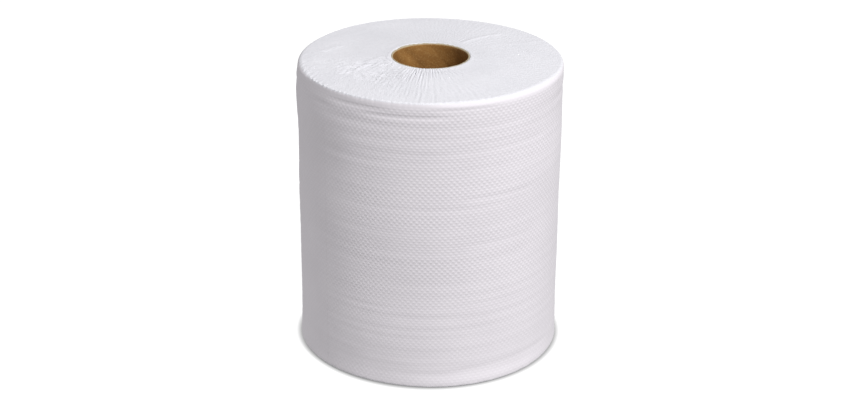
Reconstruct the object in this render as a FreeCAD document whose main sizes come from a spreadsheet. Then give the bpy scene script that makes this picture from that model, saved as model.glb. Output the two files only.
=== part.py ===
import FreeCAD, Part
import os
import Sketcher

# Wide paper towel roll standing on end: one web of embossed paper wound on a
# plain cardboard tube. Millimetres. The origin is the centre of the base,
# +Z runs up the roll's axis.

doc = FreeCAD.newDocument("PaperTowelRoll")

# ---------------------------------------------------------------- dimensions
sizes = doc.addObject("Spreadsheet::Sheet", "Sizes")
TABLE = [
    ("roll_diameter", 230.0, "outside of the last turn"),
    ("roll_height", 260.0, "web width, and the length of the tube"),
    ("tube_outside", 68.0, "outside diameter of the cardboard tube"),
    ("tube_wall", 1.5, "wall of the wound cardboard"),
    ("sheet_thickness", 0.3, "embossed two-ply web, as wound"),
    ("top_rim_radius", 3.0, "rounding of the soft upper edge"),
    ("base_rim_radius", 3.0, "rounding of the soft lower edge"),
    ("tail_angle", 128.0, "where the loose end lies, degrees from +X"),
    ("axis_line", 20.0, "length of the construction line that marks the last half turn's axis"),
]
for row, (alias, value, note) in enumerate(TABLE, start=1):
    sizes.set("A%d" % row, alias.replace("_", " "))
    sizes.set("B%d" % row, str(value))
    sizes.setAlias("B%d" % row, alias)
    sizes.set("C%d" % row, note)
doc.recompute()


def cell(alias):
    return float(sizes.get(alias))


def origin_plane(body, role):
    for feature in body.Origin.OriginFeatures:
        if feature.Role == role:
            return feature
    raise RuntimeError("no " + role)


def new_body(label):
    body = doc.addObject("PartDesign::Body", label)
    body.Label = label
    doc.recompute()
    return body


def new_sketch(body, name, role):
    sketch = body.newObject("Sketcher::SketchObject", name)
    sketch.AttachmentSupport = [(origin_plane(body, role), "")]
    sketch.MapMode = "FlatFace"
    doc.recompute()
    return sketch


def drive(sketch, index, name, expression):
    sketch.renameConstraint(index, name)
    sketch.setExpression("Constraints." + name, expression)


# start values of the geometry; the constraints below bind it to the sheet
outer_r = cell("roll_diameter") / 2.0
height = cell("roll_height")
tube_r = cell("tube_outside") / 2.0
wall = cell("tube_wall")
sheet = cell("sheet_thickness")
top_r = cell("top_rim_radius")
base_r = cell("base_rim_radius")

V = FreeCAD.Vector
Z = V(0, 0, 1)
C = Sketcher.Constraint


def quarter(cx, cy, radius, a0, a1):
    return Part.ArcOfCircle(Part.Circle(V(cx, cy, 0), Z, radius), a0, a1)


HALF_PI = 1.5707963267948966
PI = 2.0 * HALF_PI
UNDER_REVERSED = True

# ---------------------------------------------------------------- paper_roll
# All the turns of the web are one solid. Seen from above its outline is a
# spiral: through the half turn before the loose end the outside grows by one
# sheet, and it drops by one sheet at the loose end itself. So it is two half
# turns, each with a flat base, soft rounded edges and a flat end face: one
# about the roll's axis, and one about an axis half a sheet away from it.
paper = new_body("paper_roll")


def half_section(name, inner_x, outer_x, inner_name, inner_expr, outer_name, outer_expr):
    """The section of one half, in the upright plane through the loose end."""
    sketch = new_sketch(paper, name, "XZ_Plane")
    sketch.AttachmentOffset = FreeCAD.Placement(V(0, 0, 0), FreeCAD.Rotation(V(0, 1, 0), cell("tail_angle")))
    sketch.setExpression("AttachmentOffset.Rotation.Angle", "Sizes.tail_angle * 1 deg")
    g_base = sketch.addGeometry(Part.LineSegment(V(inner_x, 0, 0), V(outer_x - base_r, 0, 0)), False)
    g_low = sketch.addGeometry(quarter(outer_x - base_r, base_r, base_r, -HALF_PI, 0.0), False)
    g_side = sketch.addGeometry(Part.LineSegment(V(outer_x, base_r, 0), V(outer_x, height - top_r, 0)), False)
    g_top = sketch.addGeometry(quarter(outer_x - top_r, height - top_r, top_r, 0.0, HALF_PI), False)
    g_face = sketch.addGeometry(Part.LineSegment(V(outer_x - top_r, height, 0), V(inner_x, height, 0)), False)
    g_axis = sketch.addGeometry(Part.LineSegment(V(inner_x, height, 0), V(inner_x, 0, 0)), False)
    sketch.addConstraint(C("Tangent", g_base, 2, g_low, 1))
    sketch.addConstraint(C("Tangent", g_low, 2, g_side, 1))
    sketch.addConstraint(C("Tangent", g_side, 2, g_top, 1))
    sketch.addConstraint(C("Tangent", g_top, 2, g_face, 1))
    sketch.addConstraint(C("Coincident", g_face, 2, g_axis, 1))
    sketch.addConstraint(C("Coincident", g_axis, 2, g_base, 1))
    sketch.addConstraint(C("Horizontal", g_base))
    sketch.addConstraint(C("Vertical", g_side))
    sketch.addConstraint(C("Horizontal", g_face))
    sketch.addConstraint(C("Vertical", g_axis))
    sketch.addConstraint(C("PointOnObject", g_base, 1, -1))
    i = sketch.addConstraint(C("Radius", g_low, base_r))
    drive(sketch, i, "base_rim", "Sizes.base_rim_radius")
    i = sketch.addConstraint(C("Radius", g_top, top_r))
    drive(sketch, i, "top_rim", "Sizes.top_rim_radius")
    i = sketch.addConstraint(C("DistanceY", -1, 1, g_face, 1, height))
    drive(sketch, i, "web_width", "Sizes.roll_height")
    i = sketch.addConstraint(C("DistanceX", -1, 1, g_side, 1, outer_x))
    drive(sketch, i, outer_name, outer_expr)
    if inner_x:
        i = sketch.addConstraint(C("DistanceX", -1, 1, g_axis, 1, inner_x))
        drive(sketch, i, inner_name, inner_expr)
    else:
        sketch.addConstraint(C("PointOnObject", g_axis, 1, -2))
    doc.recompute()
    return sketch, g_axis


def half_turn(name, sketch, axis, reversed_way):
    feature = paper.newObject("PartDesign::Revolution", name)
    feature.Profile = sketch
    feature.ReferenceAxis = (sketch, [axis])
    feature.Angle = 180.0
    feature.Reversed = reversed_way
    sketch.Visibility = False
    doc.recompute()
    return feature


under_section, _ = half_section("SectionUnder", 0.0, outer_r - sheet, "", "",
                                "turn_below", "Sizes.roll_diameter / 2 - Sizes.sheet_thickness")
under = half_turn("HalfTurnUnder", under_section, "V_Axis", UNDER_REVERSED)
last_section, _ = half_section("SectionLast", sheet / 2.0, outer_r, "axis_shift", "Sizes.sheet_thickness / 2",
                               "outside", "Sizes.roll_diameter / 2")
# the last half turn's own upright axis, drawn as a construction line
g_line = last_section.addGeometry(Part.LineSegment(V(sheet / 2.0, 0, 0), V(sheet / 2.0, 20.0, 0)), True)
last_section.addConstraint(C("Vertical", g_line))
last_section.addConstraint(C("PointOnObject", g_line, 1, -1))
i = last_section.addConstraint(C("DistanceX", -1, 1, g_line, 1, sheet / 2.0))
drive(last_section, i, "axis_line", "Sizes.sheet_thickness / 2")
i = last_section.addConstraint(C("DistanceY", g_line, 1, g_line, 2, 20.0))
drive(last_section, i, "axis_line_length", "Sizes.axis_line")
doc.recompute()
last = half_turn("HalfTurnLast", last_section, "Axis0", not UNDER_REVERSED)

bore = new_sketch(paper, "BoreOutline", "XY_Plane")
g_bore = bore.addGeometry(Part.Circle(V(0, 0, 0), Z, tube_r), False)
bore.addConstraint(C("Coincident", g_bore, 3, -1, 1))
i = bore.addConstraint(C("Radius", g_bore, tube_r))
drive(bore, i, "bore", "Sizes.tube_outside / 2")
doc.recompute()
hole = paper.newObject("PartDesign::Pocket", "TubeBore")
hole.Profile = bore
hole.Type = "ThroughAll"
hole.Reversed = True
bore.Visibility = False
doc.recompute()

# ---------------------------------------------------------------- core_tube
# Plain wound cardboard tube, as long as the web is wide.
tube = new_body("core_tube")
ring = new_sketch(tube, "TubeSection", "XY_Plane")
g_out = ring.addGeometry(Part.Circle(V(0, 0, 0), Z, tube_r), False)
g_in = ring.addGeometry(Part.Circle(V(0, 0, 0), Z, tube_r - wall), False)
ring.addConstraint(C("Coincident", g_out, 3, -1, 1))
ring.addConstraint(C("Coincident", g_in, 3, -1, 1))
i = ring.addConstraint(C("Radius", g_out, tube_r))
drive(ring, i, "outside", "Sizes.tube_outside / 2")
i = ring.addConstraint(C("Radius", g_in, tube_r - wall))
drive(ring, i, "inside", "Sizes.tube_outside / 2 - Sizes.tube_wall")
doc.recompute()

cut_tube = tube.newObject("PartDesign::Pad", "TubeLength")
cut_tube.Profile = ring
cut_tube.Length = height
cut_tube.setExpression("Length", "Sizes.roll_height")
ring.Visibility = False
doc.recompute()

# ---------------------------------------------------------------- tests
failed = [o.Name for o in doc.Objects if "Invalid" in o.State or "Error" in o.State]
if failed:
    raise RuntimeError("failed objects: " + ", ".join(failed))
for sketch in (under_section, last_section, bore, ring):
    if sketch.solve() != 0 or not sketch.FullyConstrained:
        raise RuntimeError("sketch not fully constrained: " + sketch.Name)

# the spiral outline, less what the two rounded edges take off
r_mean = outer_r - 0.75 * sheet
edges = 2 * PI * (outer_r - 0.9) * (1 - PI / 4) * (top_r ** 2 + base_r ** 2)
expected = PI * (r_mean ** 2 - tube_r ** 2) * height - edges
if abs(paper.Shape.Volume / expected - 1) > 0.001:
    raise RuntimeError("web volume wrong: %.1f for %.1f" % (paper.Shape.Volume, expected))
along = FreeCAD.Rotation(Z, cell("tail_angle"))
last_side = along.multVec(V(outer_r - sheet / 3, 1.0, height / 2))
under_side = along.multVec(V(outer_r - sheet / 3, -1.0, height / 2))
if not paper.Shape.isInside(last_side, 1e-4, False) or paper.Shape.isInside(under_side, 1e-4, False):
    raise RuntimeError("loose end at the wrong place")

os.makedirs("parts", exist_ok=True)
for body in (paper, tube):
    shape = body.Shape
    if shape.isNull() or not shape.isValid() or len(shape.Solids) != 1:
        raise RuntimeError("bad shape: " + body.Label)
    shape.exportStep("parts/%s.step" % body.Label)
    box = shape.BoundBox
    print("%-12s volume %.1f cm3, box x %.2f..%.2f y %.2f..%.2f z %.2f..%.2f" % (
        body.Label, shape.Volume / 1000.0, box.XMin, box.XMax, box.YMin, box.YMax, box.ZMin, box.ZMax))
print("web volume %.1f cm3, expected %.1f" % (paper.Shape.Volume / 1000.0, expected / 1000.0))
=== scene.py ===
import math

import bpy
import numpy as np
from mathutils import Matrix, Vector


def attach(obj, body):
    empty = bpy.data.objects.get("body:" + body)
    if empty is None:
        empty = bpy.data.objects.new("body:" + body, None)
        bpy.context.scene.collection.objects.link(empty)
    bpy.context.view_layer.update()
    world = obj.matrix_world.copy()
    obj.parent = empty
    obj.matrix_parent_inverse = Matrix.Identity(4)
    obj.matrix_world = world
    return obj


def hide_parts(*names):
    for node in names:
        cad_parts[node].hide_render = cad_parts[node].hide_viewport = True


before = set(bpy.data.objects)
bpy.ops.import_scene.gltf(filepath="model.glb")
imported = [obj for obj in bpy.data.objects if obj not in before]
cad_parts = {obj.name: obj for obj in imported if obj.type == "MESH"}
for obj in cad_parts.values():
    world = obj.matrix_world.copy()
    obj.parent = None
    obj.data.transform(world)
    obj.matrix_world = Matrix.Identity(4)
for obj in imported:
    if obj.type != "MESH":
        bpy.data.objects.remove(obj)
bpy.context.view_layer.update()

# ------------------------------------------------------------------ sizes, m
R = 0.115            # outside of the last turn
H = 0.260            # web width
BORE = 0.034         # where the web meets the tube
TUBE_IN = 0.0325
SHEET = 0.0003
TAIL = math.radians(128.0)
CELLS = 152          # embossing cells round the roll
PITCH = 2 * math.pi * R / CELLS


# ------------------------------------------------------------------- camera
def make_camera():
    pitch, roll = math.radians(23.54), math.radians(0.44)
    fwd = Vector((0, math.cos(pitch), -math.sin(pitch)))
    up = Vector((0, math.sin(pitch), math.cos(pitch)))
    right = Vector((1, 0, 0))
    x = math.cos(roll) * right + math.sin(roll) * up
    y = -math.sin(roll) * right + math.cos(roll) * up
    data = bpy.data.cameras.new("camera")
    data.lens = 76.65
    data.sensor_width = 36.0
    data.clip_start, data.clip_end = 0.01, 50.0
    cam = bpy.data.objects.new("camera", data)
    bpy.context.collection.objects.link(cam)
    m = Matrix((x, y, -fwd)).transposed().to_4x4()
    m.translation = Vector((-0.0021, -1.487, 0.769))
    cam.matrix_world = m
    bpy.context.scene.camera = cam


make_camera()


# -------------------------------------------------------------- mesh helpers
def smooth(a, b, x):
    t = np.clip((x - a) / (b - a), 0, 1)
    return t * t * (3 - 2 * t)


def around(theta, phi_deg):
    """Signed angle in degrees from a direction given round the roll: 0 is the front, + to the right."""
    d = np.degrees(theta) + 90.0 - phi_deg
    return (d + 180.0) % 360.0 - 180.0


def window(theta, lo, hi, soft=9.0):
    """1 between two directions (degrees from the front), fading over soft degrees."""
    mid, half = (lo + hi) / 2, (hi - lo) / 2
    d = np.abs(around(theta, mid))
    return 1 - smooth(half - soft * 0.5, half + soft, d)


def waves(theta, s, seed, count, ks, periods, power=0.0):
    """A sum of seeded waves, whole numbers of them round the roll, unit rms."""
    rng = np.random.RandomState(seed)
    total = np.zeros(np.broadcast(theta, s).shape)
    norm = 0.0
    for _ in range(count):
        k = rng.randint(ks[0], ks[1] + 1)
        period = math.exp(rng.uniform(math.log(periods[0]), math.log(periods[1])))
        phase = rng.uniform(0, 2 * math.pi)
        sign = 1 if rng.rand() < 0.5 else -1
        a = (period / periods[1]) ** power
        total += a * np.cos(k * theta + sign * 2 * math.pi * s / period + phase)
        norm += a * a / 2
    return total / math.sqrt(norm)


class Skin:
    """Rings of points joined into one closed mesh, with a tidy map of their own."""

    def __init__(self):
        self.points, self.faces, self.maps, self.slots = [], [], [], []
        self.count = 0

    def ring(self, xyz):
        first = self.count
        self.points.append(np.asarray(xyz, float))
        self.count += len(xyz)
        return (first, len(xyz))

    def join(self, a, b, uv_a, uv_b, slot=0):
        """Quads from ring a to ring b; b may have twice as many points as a, or half."""
        (fa, na), (fb, nb) = a, b
        if na == nb:
            for i in range(na):
                j = (i + 1) % na
                self.faces.append((fa + i, fa + j, fb + j, fb + i))
                self.maps.append((uv_a(i), uv_a(i + 1), uv_b(i + 1), uv_b(i)))
                self.slots.append(slot)
        elif nb == 2 * na:
            for i in range(na):
                j = (i + 1) % na
                m, e = 2 * i + 1, (2 * i + 2) % nb
                self.faces += [(fa + i, fb + m, fb + 2 * i), (fa + i, fa + j, fb + m), (fa + j, fb + e, fb + m)]
                self.maps += [(uv_a(i), uv_b(2 * i + 1), uv_b(2 * i)), (uv_a(i), uv_a(i + 1), uv_b(2 * i + 1)),
                              (uv_a(i + 1), uv_b(2 * i + 2), uv_b(2 * i + 1))]
                self.slots += [slot] * 3
        else:
            raise ValueError("rings don't match")

    def join_dotted(self, a, b, uv_a, uv_b, row):
        """As join, in triangles whose long side always meets the raised dot at one corner, so that each dot is even."""
        (fa, n), (fb, _) = a, b
        for i in range(n):
            j = (i + 1) % n
            if row % 2 == 0:
                rising = (i % 2) == (row // 2) % 2
            else:
                rising = (i % 2) != ((row + 1) // 2) % 2
            if rising:
                self.faces += [(fa + i, fa + j, fb + j), (fa + i, fb + j, fb + i)]
                self.maps += [(uv_a(i), uv_a(i + 1), uv_b(i + 1)), (uv_a(i), uv_b(i + 1), uv_b(i))]
            else:
                self.faces += [(fa + i, fa + j, fb + i), (fa + j, fb + j, fb + i)]
                self.maps += [(uv_a(i), uv_a(i + 1), uv_b(i)), (uv_a(i + 1), uv_b(i + 1), uv_b(i))]
            self.slots += [0, 0]

    def build(self, name, materials):
        mesh = bpy.data.meshes.new(name)
        mesh.from_pydata(np.concatenate(self.points).tolist(), [], self.faces)
        layer = mesh.uv_layers.new(name="OFBake")
        flat = np.array([c for face in self.maps for uv in face for c in uv], np.float32)
        layer.data.foreach_set("uv", flat)
        for material in materials:
            mesh.materials.append(material)
        mesh.polygons.foreach_set("material_index", np.array(self.slots, np.int32))
        mesh.polygons.foreach_set("use_smooth", np.ones(len(self.faces), bool))
        mesh.validate()
        mesh.update()
        obj = bpy.data.objects.new(name, mesh)
        bpy.context.collection.objects.link(obj)
        return obj


# ------------------------------------------------------------- side relief, m
# Ridges (+) and grooves (-) that run round the side, as
# (height from the top as a share, from, to, depth in mm, half width in mm).
BANDS = [
    (0.062, -88, -50, -0.42, 1.7), (0.052, -25, 4, -0.40, 1.2), (0.033, -42, -22, -0.30, 1.3),
    (0.024, 4, 24, -0.30, 1.2), (0.019, 30, 62, -0.34, 1.3),
    (0.156, -38, 6, 0.16, 3.0), (0.173, -36, 54, -0.11, 1.9), (0.088, -40, 40, -0.07, 1.6),
    (0.142, 20, 42, -0.11, 1.3), (0.300, 20, 44, -0.06, 1.5), (0.335, 18, 46, -0.16, 1.7),
    (0.356, -90, -36, -0.10, 2.6), (0.366, -34, 22, -0.07, 1.8), (0.205, -60, 10, -0.04, 2.2),
    (0.249, -50, 60, -0.035, 2.4), (0.440, -95, -72, -0.12, 2.4), (0.492, 20, 44, -0.09, 1.8),
    (0.515, -24, 20, -0.08, 2.2), (0.510, -90, -52, -0.08, 2.6), (0.552, 22, 42, -0.07, 1.8),
    (0.600, -95, -60, -0.06, 3.0), (0.701, 20, 44, -0.08, 1.3), (0.722, 20, 44, -0.08, 1.3),
    (0.721, -34, -20, -0.08, 1.5), (0.742, -12, 8, -0.05, 1.6), (0.793, -30, 30, -0.035, 2.2),
    (0.889, -28, 4, -0.10, 2.4), (0.897, 16, 58, -0.08, 2.6), (0.940, 14, 62, -0.24, 2.0),
    (0.930, -70, -10, -0.10, 3.0),
    (0.08, 70, 130, -0.22, 1.8), (0.045, 150, 205, -0.26, 1.6), (0.21, 95, 160, -0.12, 2.0),
    (0.34, 120, 220, -0.10, 2.2), (0.47, 80, 140, -0.09, 2.0), (0.58, 150, 230, -0.10, 2.4),
    (0.66, 75, 120, -0.08, 1.8), (0.76, 130, 200, -0.09, 2.0), (0.86, 85, 150, -0.10, 2.2),
    (0.95, 100, 220, -0.18, 2.2),
]


def side_relief(theta, z):
    """How far the side stands out of its true radius, without the embossing."""
    down = H - z
    out = np.zeros(np.broadcast(theta, z).shape)
    for share, lo, hi, depth, width in BANDS:
        drift = 0.0006 * np.sin(2 * theta + share * 40) + 0.0004 * np.sin(5 * theta + share * 90)
        d = (down - share * H - drift) / (width * 1e-3)
        out += 1.5 * depth * 1e-3 * window(theta, lo, hi) * np.exp(-0.5 * d * d)
    # soft bands left by the winding, and slow unevenness of the whole side
    out += 0.000035 * waves(theta, z, 11, 26, (0, 3), (0.006, 0.022), 0.6)
    out += 0.00016 * waves(theta, z, 12, 12, (1, 4), (0.07, 0.25))
    # upper left: a soft shoulder, with the rim set in above it
    left = window(theta, -128, -48, 26)
    out += left * (0.0011 * np.exp(-0.5 * ((down - 0.030) / 0.016) ** 2) - 0.0011 * (1 - smooth(0.0, 0.014, down)))
    # right: the rim stands out a little over a shallow hollow
    right = window(theta, 6, 68, 14)
    out += right * 0.00045 * (1 - smooth(0.0025, 0.0075, down))
    # the foot of the roll spreads a little
    foot = 0.35 + 0.65 * window(theta, 0, 52, 18)
    out += foot * 0.0014 * (1 - smooth(0.0025, 0.0125, z))
    return out


def turn_radius(theta):
    """The outside of the web: it grows by one sheet over the half turn before its loose end."""
    t = (theta - TAIL) % (2 * math.pi)
    return np.where(t < math.pi, R - SHEET / 2 + SHEET / 2 * np.cos(t), R - SHEET)


def pressed(theta, z):
    """How much of the embossing is left: it is pressed flatter on the left side, at the foot and on the upper left shoulder."""
    keep = 1 - 0.55 * window(theta, -140, -52, 24) - 0.25 * window(theta, 62, 110, 24)
    keep = keep * (0.45 + 0.55 * smooth(0.02, 0.11, z))
    shoulder = window(theta, -112, -48, 8) * smooth(H - 0.0175, H - 0.0150, z)
    lip = window(theta, 2, 64, 8) * smooth(H - 0.0072, H - 0.0055, z)
    return keep * (1 - 0.95 * shoulder) * (1 - 0.9 * lip)


def embossing(theta, z):
    """Raised dots in a brick pattern, wider than high."""
    u = (theta - TAIL) / (2 * math.pi) * CELLS - 0.25
    v = z / PITCH
    out = np.zeros(np.broadcast(u, v).shape)
    for du, dv in ((0, 0), (0.5, 0.5)):
        a = (u - du + 0.5) % 1.0 - 0.5
        b = (v - dv + 0.5) % 1.0 - 0.5
        out += np.exp(-(a / 0.27) ** 2 - (b / 0.155) ** 2)
    return out


# --------------------------------------------------------------- end relief
# Creases of the end face, as (points x, y as shares of R, height in mm, half width in mm).
CREASES = [
    (((-0.82, 0.12), (-0.75, 0.19), (-0.68, 0.262)), 0.55, 0.9),
    (((0.25, 0.33), (0.34, 0.44), (0.43, 0.505), (0.54, 0.565)), 0.34, 1.5),
    (((-0.36, -0.02), (-0.44, -0.11), (-0.455, -0.18), (-0.55, -0.31)), 0.45, 0.8),
    (((-0.30, -0.26), (-0.36, -0.45), (-0.35, -0.62)), 0.22, 0.8),
    (((-0.20, -0.32), (-0.21, -0.50), (-0.19, -0.66)), 0.20, 0.8),
    (((0.52, 0.30), (0.66, 0.33), (0.80, 0.38)), 0.12, 1.3),
    (((-0.62, 0.55), (-0.50, 0.66)), 0.12, 1.2),
]


CROWN = 0.0014        # the middle of the upper end stands a little above the rim


def crease_height(x, y):
    out = np.zeros(np.broadcast(x, y).shape)
    for pts, height, width in CREASES:
        best = np.full(out.shape, 1e9)
        for (ax, ay), (bx, by) in zip(pts, pts[1:]):
            ax, ay, bx, by = ax * R, ay * R, bx * R, by * R
            t = np.clip(((x - ax) * (bx - ax) + (y - ay) * (by - ay)) / ((bx - ax) ** 2 + (by - ay) ** 2), 0, 1)
            d = np.hypot(x - ax - t * (bx - ax), y - ay - t * (by - ay))
            best = np.minimum(best, d)
        out += height * 1e-3 * np.exp(-0.5 * (best / (width * 1e-3)) ** 2)
    return out


def crinkle(theta, r, seed):
    """Fine folds of the turns' cut edges, nearly radial and leaning with the winding."""
    lean = theta - (0.15 + 0.95 * window(theta, -100, -30, 34)) * (r / R - 0.3)
    a = waves(lean, r, seed, 30, (70, 150), (0.02, 0.09))
    b = waves(lean, r, seed + 1, 24, (150, 230), (0.012, 0.05))
    return 0.65 * a + 0.45 * b


def end_relief(theta, r, seed):
    front_left = window(theta, -78, 22, 30)
    slow = 0.5 + 0.5 * np.clip(waves(theta, r, seed + 5, 14, (0, 4), (0.04, 0.12)), -1, 1)
    strength = (0.25 + 0.75 * front_left) * (0.45 + 0.55 * slow)
    out = 0.00030 * strength * (1 + 0.8 * window(theta, -82, -18, 20)) * crinkle(theta, r, seed)
    out += 0.00011 * waves(theta, r, seed + 3, 14, (1, 5), (0.03, 0.12))
    return out


# ---------------------------------------------------------------- the web
N = 2 * CELLS
base_angles = TAIL + (np.arange(N) + 0.5) * 2 * math.pi / N


def angles_at(z):
    """The columns' angles at one height, with four more where the loose end lies."""
    wander = (0.00035 * math.sin(z * 61.0) + 0.00022 * math.sin(z * 173.0 + 1.0) + 0.00012 * math.sin(z * 611.0)) / R
    t = TAIL + wander
    extra = [t + e / R for e in (0.00002, 0.0007)]
    before = [t + 2 * math.pi + e / R for e in (-0.0007, -0.00002)]
    return np.concatenate([extra, base_angles, before])


def doubled(theta):
    nxt = np.append(theta[1:], theta[0] + 2 * math.pi)
    out = np.empty(len(theta) * 2)
    out[0::2] = theta
    out[1::2] = (theta + nxt) / 2
    return out


def lift(theta, z):
    """The loose end stands off the turn below it by a little, unevenly."""
    t = (theta - TAIL) % (2 * math.pi) * R
    return (0.00022 + 0.00012 * np.sin(z * 47.0)) * np.exp(-(t / 0.0035) ** 2)


SCALE = 1.0 / (2 * math.pi * R) * 0.98
GAP = 0.01


def uv_side(n, v0, height, width):
    return lambda z: (lambda i: (GAP + width * i / n, v0 + height * z / H))


def uv_disc(cx, cy):
    def at(theta, r):
        def f(i):
            t = theta[i % len(theta)]
            return (cx + r * math.cos(t) * SCALE, cy + r * math.sin(t) * SCALE)
        return f
    return at


def make_web(side, end):
    skin = Skin()
    wide, tall = 0.98, H * SCALE
    disc = R * SCALE
    # --- side, from the foot up
    rows = int(round(H / PITCH * 4))
    zs = [z for z in (np.arange(rows + 1) * PITCH / 4) if 0.0026 <= z <= H - 0.0052]
    zs = [0.0018] + zs + [H - 0.0047]
    n = len(angles_at(0.0))

    def strip(z):
        return lambda i: (GAP + wide * i / n, GAP + tall * z / H)

    def side_ring(z):
        th = angles_at(z)
        fade = smooth(0.003, 0.008, z) * (1 - 0.35 * smooth(H - 0.012, H - 0.004, z))
        vary = 0.80 + 0.20 * waves(th, z + 0 * th, 31, 10, (1, 5), (0.02, 0.09))
        flat = np.ones_like(th)
        for share, lo, hi, depth, width in BANDS:
            d = ((H - z) - share * H) / (width * 1.6e-3)
            flat *= 1 - 0.75 * window(th, lo, hi) * math.exp(-0.5 * d * d) * min(1, abs(depth) / 0.14)
        r = turn_radius(th) + side_relief(th, z) + lift(th, z) + 0.00050 * fade * vary * flat * pressed(th, z) * (embossing(th, z) - 0.35)
        return np.stack([r * np.cos(th), r * np.sin(th), np.full(len(th), z)], 1)

    # --- underside: bore edge, flat base, rounded lower edge
    foot_rings = []
    under_uv = uv_disc(GAP + 3 * disc + 0.02, GAP + tall + 0.02 + disc)
    th0 = angles_at(0.0)
    rho = 0.0018
    rings = []
    for r in (BORE, BORE + 0.002, 0.050, 0.070, 0.090, 0.104):
        z = 0.00012 * (1 - smooth(BORE, BORE + 0.004, r)) + 0 * th0
        rings.append((np.stack([r * np.cos(th0), r * np.sin(th0), z], 1), under_uv(th0, r), 1))
    for a in np.radians((-90, -72, -54, -36, -18)):
        edge = turn_radius(th0) + side_relief(th0, np.full(len(th0), 0.0018))
        bump = 0.00010 * waves(th0, 0 * th0, 41, 16, (20, 90), (1, 2)) * (1 + math.sin(a))
        r = edge - rho + rho * math.cos(a) + bump
        z = rho + rho * math.sin(a) + 0 * th0
        rings.append((np.stack([r * np.cos(th0), r * np.sin(th0), z], 1), under_uv(th0, 0.111 + 0.003 * math.cos(a)), 1))
    made = []
    for xyz, uv, slot in rings:
        made.append((skin.ring(xyz), uv, slot))
    for (a, ua, _), (b, ub, slot) in zip(made, made[1:]):
        skin.join(a, b, ua, ub, slot)
    last, last_uv = made[-1][0], under_uv(th0, 0.1146)
    first_foot, foot_uv = made[0][0], strip(0.0)

    prev, prev_uv = last, strip(0.0022)
    for z in zs:
        ring = skin.ring(side_ring(z))
        if z in (zs[0], zs[1], zs[-1]):
            skin.join(prev, ring, prev_uv, strip(z), 0)
        else:
            skin.join_dotted(prev, ring, prev_uv, strip(z), int(round(z / (PITCH / 4))) - 1)
        prev, prev_uv = ring, strip(z)

    # --- rounded upper edge, twice as many columns, with the small notches of the cut
    z_top = zs[-1]
    th1 = angles_at(z_top)
    th2 = doubled(th1)
    right = window(th2, 8, 66, 16)
    left = window(th2, -128, -48, 26)
    crisp = window(th2, -62, 2, 12)
    rho_r = 0.0030 + 0.0022 * right + 0.0016 * left * (1 - crisp) - 0.0019 * crisp
    ticks = np.clip(np.cos(CELLS * (th2 - TAIL)) + 0.25 * waves(th2, 0 * th2, 52, 9, (20, 90), (1, 2)), 0, 1.3) ** 2
    ticks = ticks * (0.10 + 0.90 * window(th2, -60, -4, 5)) * 0.00042
    edge = turn_radius(th2) + side_relief(th2, np.full(len(th2), z_top))
    notch_zone = 0.35 + 0.65 * window(th2, -62, -6, 8) + 0.15 * window(th2, 70, 290, 10)
    notch = 0.5 * waves(th2, 0 * th2, 51, 14, (60, 150), (1, 2)) + 0.6 * np.cos(CELLS * (th2 - TAIL))
    tall_rim = H - z_top
    top_uv = uv_disc(GAP + disc, GAP + tall + 0.02 + disc)
    prev_n = prev
    for step, a in enumerate(np.radians((14, 30, 46, 60, 72, 82, 90))):
        # an ellipse quarter: tall_rim high, rho_r deep
        r = edge - rho_r + rho_r * math.cos(a)
        z = H - tall_rim + tall_rim * math.sin(a)
        cut = 0.00013 * notch_zone * notch * math.sin(a) ** 2
        sag = -0.0005 * math.sin(a) * (0.5 + 0.5 * left) + 0.00018 * right * math.sin(a)
        r = r + cut * 0.8 - ticks * 0.7 * math.sin(a)
        zz = z + sag + cut * 0.6 - ticks * math.sin(a) + end_relief(th2, r, 61) * math.sin(a) ** 4
        ring = skin.ring(np.stack([r * np.cos(th2), r * np.sin(th2), zz], 1))
        if step == 0:
            skin.join(prev_n, ring, prev_uv, (lambda i: (GAP + wide * i / (2 * n), GAP + tall * 0.985)), 0)
            prev_uv = (lambda i: (GAP + wide * i / (2 * n), GAP + tall * 0.985))
        elif step < 3:
            uv = (lambda s: (lambda i: (GAP + wide * i / (2 * n), GAP + tall * (0.985 + 0.004 * s))))(step)
            skin.join(prev_n, ring, prev_uv, uv, 0)
            prev_uv = uv
        else:
            uv = top_uv(th2, float(R - 0.0032 + 0.0032 * math.cos(a)))
            if step == 3:
                prev_uv = top_uv(th2, float(R - 0.0032 + 0.0032 * math.cos(math.radians(46))))
            skin.join(prev_n, ring, prev_uv, uv, 1)
            prev_uv = uv
        prev_n = ring
    rim_r = edge - rho_r
    rim_sag = -0.0005 * (0.5 + 0.5 * left) + 0.00018 * right
    rim_ticks = ticks

    # --- upper end face, from the rim in to the bore
    shares = np.concatenate([[0.012, 0.03], np.linspace(0.06, 0.97, 25), [0.985, 1.0]])
    for s in shares:
        r = rim_r + (BORE - rim_r) * s
        x, y = r * np.cos(th2), r * np.sin(th2)
        sag = rim_sag * (1 - smooth(0.0, 0.16, s))
        lip = 0.00045 * smooth(0.93, 0.985, s) - 0.00035 * smooth(0.985, 1.0, s)
        dish = -0.00035 * math.sin(math.pi * s)
        inner = 1 - smooth(0.97, 1.0, s) * 0.7
        z = H + sag + dish + lip + CROWN * float(smooth(0.0, 1.0, s)) - rim_ticks * float(1 - smooth(0.0, 0.035, s)) + (end_relief(th2, r, 61) + 1.7 * crease_height(x, y)) * inner
        ring = skin.ring(np.stack([x, y, z], 1))
        uv = top_uv(th2, float(R - 0.0032 + (BORE - R + 0.0032) * s))
        skin.join(prev_n, ring, prev_uv, uv, 1)
        prev_n, prev_uv = ring, uv

    # --- down the bore, back to the base's ring, which has half as many points
    bore_w = 0.30

    def bore_uv(v, count):
        return lambda i: (0.66 + bore_w * i / count * 0.9, GAP + tall + 0.03 + v * 0.30)

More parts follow.
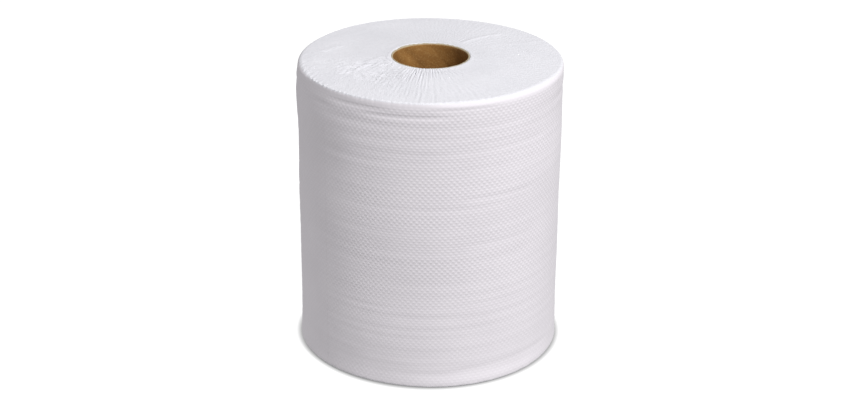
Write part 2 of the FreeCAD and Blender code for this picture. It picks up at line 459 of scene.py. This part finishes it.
    th3 = angles_at(0.0)
    ring_b = skin.ring(np.stack([BORE * np.cos(th2), BORE * np.sin(th2), np.full(len(th2), H - 0.004)], 1))
    skin.join(prev_n, ring_b, bore_uv(1.0, 2 * n), bore_uv(0.98, 2 * n), 1)
    ring_c = skin.ring(np.stack([BORE * np.cos(th3), BORE * np.sin(th3), np.full(n, 0.004)], 1))
    # ring_c has half as many points as ring_b: join the other way round and turn the faces over
    start = len(skin.faces)
    skin.join(ring_c, ring_b, bore_uv(0.02, n), bore_uv(0.98, 2 * n), 1)
    for k in range(start, len(skin.faces)):
        skin.faces[k] = tuple(reversed(skin.faces[k]))
        skin.maps[k] = tuple(reversed(skin.maps[k]))
    skin.join(ring_c, first_foot, bore_uv(0.02, n), bore_uv(0.0, n), 1)
    return skin.build("web", [side, end])


# ---------------------------------------------------------------- the tube
def make_tube(material):
    """A spiral-wound tube: the inner ply's seam climbs as a helix, with a small overlap step."""
    skin = Skin()
    n = 224
    th = np.arange(n) * 2 * math.pi / n
    lead = 0.150                      # climb of one turn of the strip
    tall = 0.46

    def inner(z):
        turn = (z / lead - th / (2 * math.pi)) % 1.0
        turn2 = (z / lead - th / (2 * math.pi) + 0.48) % 1.0
        seam = 0.00022 * np.exp(-((turn * lead) / 0.0012) ** 2) - 0.00016 * np.exp(-(((1 - turn) * lead) / 0.0009) ** 2)
        seam2 = 0.00009 * np.exp(-((turn2 - 0.5) * lead / 0.0016) ** 2)
        return TUBE_IN - seam - seam2 + 0.00005 * waves(th, z + 0 * th, 71, 18, (1, 9), (0.01, 0.08))

    def top(r_share):
        return (H + CROWN + 0.00010 + 0.00016 * waves(th, 0 * th, 81, 26, (4, 60), (1, 2)) * (0.4 + 0.6 * r_share)
                + 0.0006 * np.exp(-(((th - 2.3 + math.pi) % (2 * math.pi) - math.pi) / 0.20) ** 2)
                - 0.0005 * np.exp(-(((th - 4.5 + math.pi) % (2 * math.pi) - math.pi) / 0.16) ** 2))

    def wall(v, side):
        return lambda i: (GAP + 0.98 * i / n, (0.51 if side else 0.01) + tall * v)

    def at(r, z):
        return skin.ring(np.stack([r * np.cos(th), r * np.sin(th), z + 0 * th], 1))

    rows = []
    outer_r = 0.034 - 0.00002
    # outside, base edge, inside and cut upper edge as one closed loop of rings
    rows.append((at(outer_r, 0.0006), wall(0.0, 1)))
    rows.append((at(outer_r, 0.130), wall(0.5, 1)))
    rows.append((at(outer_r, H - 0.0008), wall(0.99, 1)))
    rows.append((at(outer_r - 0.00012, top(1.0)), wall(1.0, 1)))
    rows.append((at(outer_r - 0.00045, top(0.6) + 0.00008), (lambda i: (GAP + 0.98 * i / n, 0.985))))
    rows.append((at(outer_r - 0.00085, top(0.4) - 0.00004), (lambda i: (GAP + 0.98 * i / n, 0.990))))
    rows.append((at(TUBE_IN + 0.00022, top(0.0)), (lambda i: (GAP + 0.98 * i / n, 0.995))))
    zs = np.linspace(H - 0.0009, 0.0008, 100)
    rows.append((at(inner(H) + 0.00003, H - 0.0003), wall(1.0, 0)))
    for z in zs:
        rows.append((at(inner(z), z), wall(z / H, 0)))
    rows.append((at(TUBE_IN + 0.0002, 0.0001), (lambda i: (GAP + 0.98 * i / n, 0.004))))
    rows.append((at(outer_r - 0.0002, 0.0001), (lambda i: (GAP + 0.98 * i / n, 0.006))))
    for (a, ua), (b, ub) in zip(rows, rows[1:] + rows[:1]):
        skin.join(a, b, ua, ub, 0)
    return skin.build("tube", [material])


# -------------------------------------------------------------- materials
class Nodes:
    def __init__(self, name):
        self.material = bpy.data.materials.new(name)
        self.material.use_nodes = True
        self.tree = self.material.node_tree
        self.tree.nodes.clear()
        self.out = self.add("ShaderNodeOutputMaterial")
        self.shader = self.add("ShaderNodeBsdfPrincipled")
        self.tree.links.new(self.shader.outputs[0], self.out.inputs[0])
        coords = self.add("ShaderNodeTexCoord")
        self.place = coords.outputs["Object"]

    def add(self, kind, **settings):
        node = self.tree.nodes.new(kind)
        for key, value in settings.items():
            setattr(node, key, value)
        return node

    def put(self, socket, value):
        if isinstance(value, bpy.types.NodeSocket):
            self.tree.links.new(value, socket)
        elif value is not None:
            socket.default_value = value

    def math(self, operation, a, b=None, c=None, clamp=False):
        node = self.add("ShaderNodeMath", operation=operation, use_clamp=clamp)
        for socket, value in zip(node.inputs, (a, b, c)):
            self.put(socket, value)
        return node.outputs[0]

    def split(self, vector):
        node = self.add("ShaderNodeSeparateXYZ")
        self.put(node.inputs[0], vector)
        return node.outputs[0], node.outputs[1], node.outputs[2]

    def join(self, x, y, z):
        node = self.add("ShaderNodeCombineXYZ")
        for socket, value in zip(node.inputs, (x, y, z)):
            self.put(socket, value)
        return node.outputs[0]

    def noise(self, vector, scale, detail=2.0, rough=0.5):
        node = self.add("ShaderNodeTexNoise")
        self.put(node.inputs["Vector"], vector)
        node.inputs["Scale"].default_value = scale
        node.inputs["Detail"].default_value = detail
        node.inputs["Roughness"].default_value = rough
        return node.outputs["Fac"]

    def ramp(self, value, stops):
        node = self.add("ShaderNodeValToRGB")
        self.put(node.inputs[0], value)
        ramp = node.color_ramp
        while len(ramp.elements) < len(stops):
            ramp.elements.new(0.5)
        for element, (at, colour) in zip(ramp.elements, stops):
            element.position = at
            element.color = (*colour, 1.0)
        return node.outputs[0]

    def span(self, value, a, b, lo, hi):
        node = self.add("ShaderNodeMapRange")
        for name, number in (("From Min", a), ("From Max", b), ("To Min", lo), ("To Max", hi)):
            node.inputs[name].default_value = number
        self.put(node.inputs["Value"], value)
        return node.outputs["Result"]

    def mix(self, fac, a, b, blend="MIX"):
        node = self.add("ShaderNodeMix", data_type="RGBA", blend_type=blend)
        for key, value in ((0, fac), (6, a), (7, b)):
            self.put(node.inputs[key], value if not isinstance(value, tuple) else (*value, 1.0))
        return node.outputs[2]

    def bump(self, height, strength, distance, normal=None):
        node = self.add("ShaderNodeBump")
        node.inputs["Strength"].default_value = strength
        node.inputs["Distance"].default_value = distance
        self.put(node.inputs["Height"], height)
        if normal is not None:
            self.put(node.inputs["Normal"], normal)
        return node.outputs[0]


def polar(n):
    x, y, z = n.split(n.place)
    theta = n.math("ARCTAN2", y, x)
    r = n.math("SQRT", n.math("ADD", n.math("MULTIPLY", x, x), n.math("MULTIPLY", y, y)))
    return x, y, z, theta, r


def paper_side():
    n = Nodes("embossed_paper")
    x, y, z, theta, r = polar(n)
    turns = n.math("MULTIPLY", n.math("SUBTRACT", theta, TAIL), CELLS)
    cu = n.math("COSINE", n.math("SUBTRACT", turns, math.pi / 2))
    cv = n.math("COSINE", n.math("MULTIPLY", z, 2 * math.pi / PITCH))
    rows = n.math("COSINE", n.math("MULTIPLY", z, 4 * math.pi / PITCH))
    dots = n.math("ADD", n.math("MULTIPLY", n.math("MULTIPLY", cu, cv), 0.62), n.math("MULTIPLY", rows, 0.38))
    dots01 = n.span(dots, -0.3, 0.9, 0.0, 1.0)
    # the embossing is pressed flatter on the left, at the foot and on the smooth shoulder
    leftness = n.span(n.math("COSINE", n.math("SUBTRACT", theta, math.radians(-186.0))), -0.1, 0.75, 0.0, 0.60)
    keep = n.math("MULTIPLY", n.math("SUBTRACT", 1.0, leftness), n.span(z, 0.02, 0.11, 0.45, 1.0))
    keep = n.math("MULTIPLY", keep, n.span(z, H - 0.0065, H - 0.0045, 1.0, 0.2))
    # painted shade: the hollows between the dots are darkened, less where the embossing is pressed flat
    dot_valley_shade = n.math("MULTIPLY", n.span(dots01, 0.0, 0.85, 1.0, 0.0), keep)
    fibre = n.noise(n.place, 1500.0, 3.0, 0.6)
    felt = n.noise(n.place, 420.0, 4.0, 0.62)
    cloud = n.noise(n.place, 22.0, 3.0, 0.55)
    # mottled white, with painted shade darkening the hollows between the dots
    tone = n.ramp(cloud, [(0.30, (0.735, 0.700, 0.742)), (0.55, (0.762, 0.726, 0.770)), (0.78, (0.785, 0.750, 0.790))])
    tone = n.mix(n.math("MULTIPLY", dot_valley_shade, 0.42), tone, (0.60, 0.572, 0.605))
    tone = n.mix(n.span(felt, 0.35, 0.7, 0.0, 0.10), tone, (0.80, 0.79, 0.80))
    # perforations: a broken line across the web at three places round the roll
    dash = n.math("GREATER_THAN", n.math("FRACT", n.math("MULTIPLY", z, 1 / 0.0042)), 0.30)
    marks = None
    for phi in (-50.0, 70.0, 190.0):
        a = math.radians(phi - 90.0)
        d = n.math("ABSOLUTE", n.math("SUBTRACT", n.math("MULTIPLY", x, -math.sin(a)), n.math("MULTIPLY", y, -math.cos(a))))
        ahead = n.math("GREATER_THAN", n.math("ADD", n.math("MULTIPLY", x, math.cos(a)), n.math("MULTIPLY", y, math.sin(a))), 0.0)
        line = n.math("MULTIPLY", n.math("LESS_THAN", d, 0.00028), ahead)
        marks = line if marks is None else n.math("MAXIMUM", marks, line)
    marks = n.math("MULTIPLY", marks, dash)
    tone = n.mix(n.math("MULTIPLY", marks, 0.22), tone, (0.50, 0.49, 0.50))
    n.put(n.shader.inputs["Base Color"], tone)
    n.put(n.shader.inputs["Roughness"], n.span(felt, 0.3, 0.7, 0.86, 0.97))
    n.shader.inputs["Specular IOR Level"].default_value = 0.25
    n.shader.inputs["Sheen Weight"].default_value = 0.12
    n.shader.inputs["Sheen Roughness"].default_value = 0.6
    height = n.math("ADD", n.math("MULTIPLY", felt, 0.55), n.math("MULTIPLY", fibre, 0.45))
    first = n.bump(height, 0.35, 0.00012)
    second = n.bump(n.math("MULTIPLY", dots01, keep), 0.60, 0.00022, first)
    third = n.bump(n.math("SUBTRACT", 1.0, marks), 0.5, 0.0001, second)
    n.put(n.shader.inputs["Normal"], third)
    return n.material


def paper_end():
    n = Nodes("paper_end")
    x, y, z, theta, r = polar(n)
    # the turns' cut edges, and the nearly radial crinkles across them
    lean = n.math("SUBTRACT", theta, n.math("MULTIPLY", r, 0.50 / R))
    streak = n.join(n.math("MULTIPLY", n.math("COSINE", lean), 14.0), n.math("MULTIPLY", n.math("SINE", lean), 14.0),
                    n.math("MULTIPLY", r, 90.0))
    crinkles = n.noise(streak, 3.2, 4.0, 0.6)
    fine = n.noise(streak, 9.0, 2.0, 0.5)
    around_ring = n.join(n.math("MULTIPLY", n.math("COSINE", theta), 0.6), n.math("MULTIPLY", n.math("SINE", theta), 0.6),
                         n.math("MULTIPLY", r, 2600.0))
    turns = n.noise(around_ring, 1.0, 2.0, 0.5)
    felt = n.noise(n.place, 900.0, 3.0, 0.6)
    cloud = n.noise(n.place, 26.0, 3.0, 0.5)
    tone = n.ramp(cloud, [(0.30, (0.745, 0.740, 0.785)), (0.55, (0.775, 0.768, 0.812)), (0.80, (0.795, 0.788, 0.830))])
    # painted shade: the hollows of the crinkles are darkened in the colour as well as bumped
    tone = n.mix(n.span(crinkles, 0.35, 0.62, 0.22, 0.0), tone, (0.62, 0.62, 0.65))
    tone = n.mix(n.span(turns, 0.35, 0.65, 0.10, 0.0), tone, (0.64, 0.65, 0.68))
    n.put(n.shader.inputs["Base Color"], tone)
    n.put(n.shader.inputs["Roughness"], n.span(felt, 0.3, 0.7, 0.88, 0.98))
    n.shader.inputs["Specular IOR Level"].default_value = 0.2
    n.shader.inputs["Sheen Weight"].default_value = 0.10
    n.shader.inputs["Sheen Roughness"].default_value = 0.6
    first = n.bump(n.math("ADD", n.math("MULTIPLY", crinkles, 0.7), n.math("MULTIPLY", fine, 0.3)), 0.8, 0.0010)
    second = n.bump(turns, 0.25, 0.00012, first)
    third = n.bump(felt, 0.3, 0.0001, second)
    n.put(n.shader.inputs["Normal"], third)
    return n.material


def cardboard():
    n = Nodes("brown_board")
    x, y, z, theta, r = polar(n)
    # the ply's grain runs along the helix of the winding
    climb = n.math("SUBTRACT", z, n.math("MULTIPLY", theta, 0.150 / (2 * math.pi)))
    grain_at = n.join(n.math("MULTIPLY", n.math("COSINE", theta), 1.2), n.math("MULTIPLY", n.math("SINE", theta), 1.2),
                      n.math("MULTIPLY", climb, 95.0))
    grain = n.noise(grain_at, 1.0, 4.0, 0.62)
    fibre = n.noise(n.place, 700.0, 4.0, 0.65)
    cloud = n.noise(n.place, 45.0, 3.0, 0.55)
    seam_at = n.math("FRACT", n.math("ADD", n.math("SUBTRACT", n.math("DIVIDE", z, 0.150), n.math("DIVIDE", theta, 2 * math.pi)), 2.0))
    seam = n.span(n.math("ABSOLUTE", n.math("SUBTRACT", seam_at, 0.5)), 0.490, 0.5, 0.0, 1.0)
    tone = n.ramp(grain, [(0.25, (0.170, 0.076, 0.015)), (0.50, (0.275, 0.128, 0.028)), (0.75, (0.390, 0.200, 0.055))])
    tone = n.mix(n.span(cloud, 0.35, 0.65, 0.0, 0.30), tone, (0.24, 0.115, 0.035))
    tone = n.mix(n.span(fibre, 0.50, 0.72, 0.0, 0.50), tone, (0.50, 0.31, 0.12))
    tone = n.mix(n.math("MULTIPLY", seam, 0.5), tone, (0.12, 0.060, 0.020))
    # the cut edge shows the pale inside of the board, and some paper dust
    edge = n.span(z, H + CROWN - 0.0009, H + CROWN - 0.0002, 0.0, 1.0)
    worn = n.math("MULTIPLY", edge, n.span(fibre, 0.35, 0.6, 0.75, 1.0))
    tone = n.mix(worn, tone, (0.45, 0.39, 0.27))
    n.put(n.shader.inputs["Base Color"], tone)
    n.put(n.shader.inputs["Roughness"], n.span(grain, 0.3, 0.7, 0.62, 0.88))
    n.shader.inputs["Specular IOR Level"].default_value = 0.35
    first = n.bump(grain, 0.18, 0.00020)
    second = n.bump(fibre, 0.50, 0.00016, first)
    n.put(n.shader.inputs["Normal"], second)
    return n.material


web = make_web(paper_side(), paper_end())
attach(web, "root")
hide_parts("paper_roll")

tube = make_tube(cardboard())
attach(tube, "root")
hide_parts("core_tube")


# ------------------------------------------------------------- floor, light
def make_floor():
    mesh = bpy.data.meshes.new("floor")
    s = 6.0
    mesh.from_pydata([(-s, -s, -0.0002), (s, -s, -0.0002), (s, s, -0.0002), (-s, s, -0.0002)], [], [(0, 1, 2, 3)])
    n = Nodes("pale_floor")
    grain = n.noise(n.place, 3.0, 2.0)
    n.put(n.shader.inputs["Base Color"], n.ramp(grain, [(0.3, (0.19, 0.19, 0.19)), (0.7, (0.21, 0.21, 0.21))]))
    n.shader.inputs["Roughness"].default_value = 0.9
    n.shader.inputs["Specular IOR Level"].default_value = 0.0
    n.shader.inputs["Emission Color"].default_value = (1, 1, 1, 1)
    # a painted shadow: the floor's glow is dimmed in a soft, narrow ring where the roll's foot meets the floor
    r = polar(n)[4]
    n.put(n.shader.inputs["Emission Strength"], n.span(r, 0.1150, 0.1205, 0.24, 0.94))
    mesh.materials.append(n.material)
    floor = bpy.data.objects.new("floor", mesh)
    bpy.context.collection.objects.link(floor)
    floor.visible_diffuse = False
    floor.visible_glossy = False


def area(name, direction, distance, size, power, colour=(1, 1, 1)):
    data = bpy.data.lights.new(name, "AREA")
    data.shape = "DISK"
    data.size = size
    data.energy = power
    data.color = colour
    lamp = bpy.data.objects.new(name, data)
    bpy.context.collection.objects.link(lamp)
    d = Vector(direction).normalized()
    lamp.location = Vector((0, 0, 0.13)) + d * distance
    lamp.visible_camera = False
    lamp.rotation_mode = "QUATERNION"
    lamp.rotation_quaternion = d.to_track_quat("Z", "Y")


make_floor()
world = bpy.data.worlds.new("world")
world.use_nodes = True
world.node_tree.nodes["Background"].inputs[0].default_value = (1.0, 1.0, 1.0, 1)
world.node_tree.nodes["Background"].inputs[1].default_value = 0.385
bpy.context.scene.world = world
az, el = math.radians(40.0), math.radians(44.7)
area("fill", (-1.0, -0.16, 0.03), 3.0, 1.0, 11.0)
area("bounce", (-1.0, -0.25, -0.28), 0.45, 0.12, 0.15)
area("key", (math.sin(az) * math.cos(el), -math.cos(az) * math.cos(el), math.sin(el)), 3.5, 1.2, 118.0)
bpy.context.scene.view_settings.view_transform = "Standard"
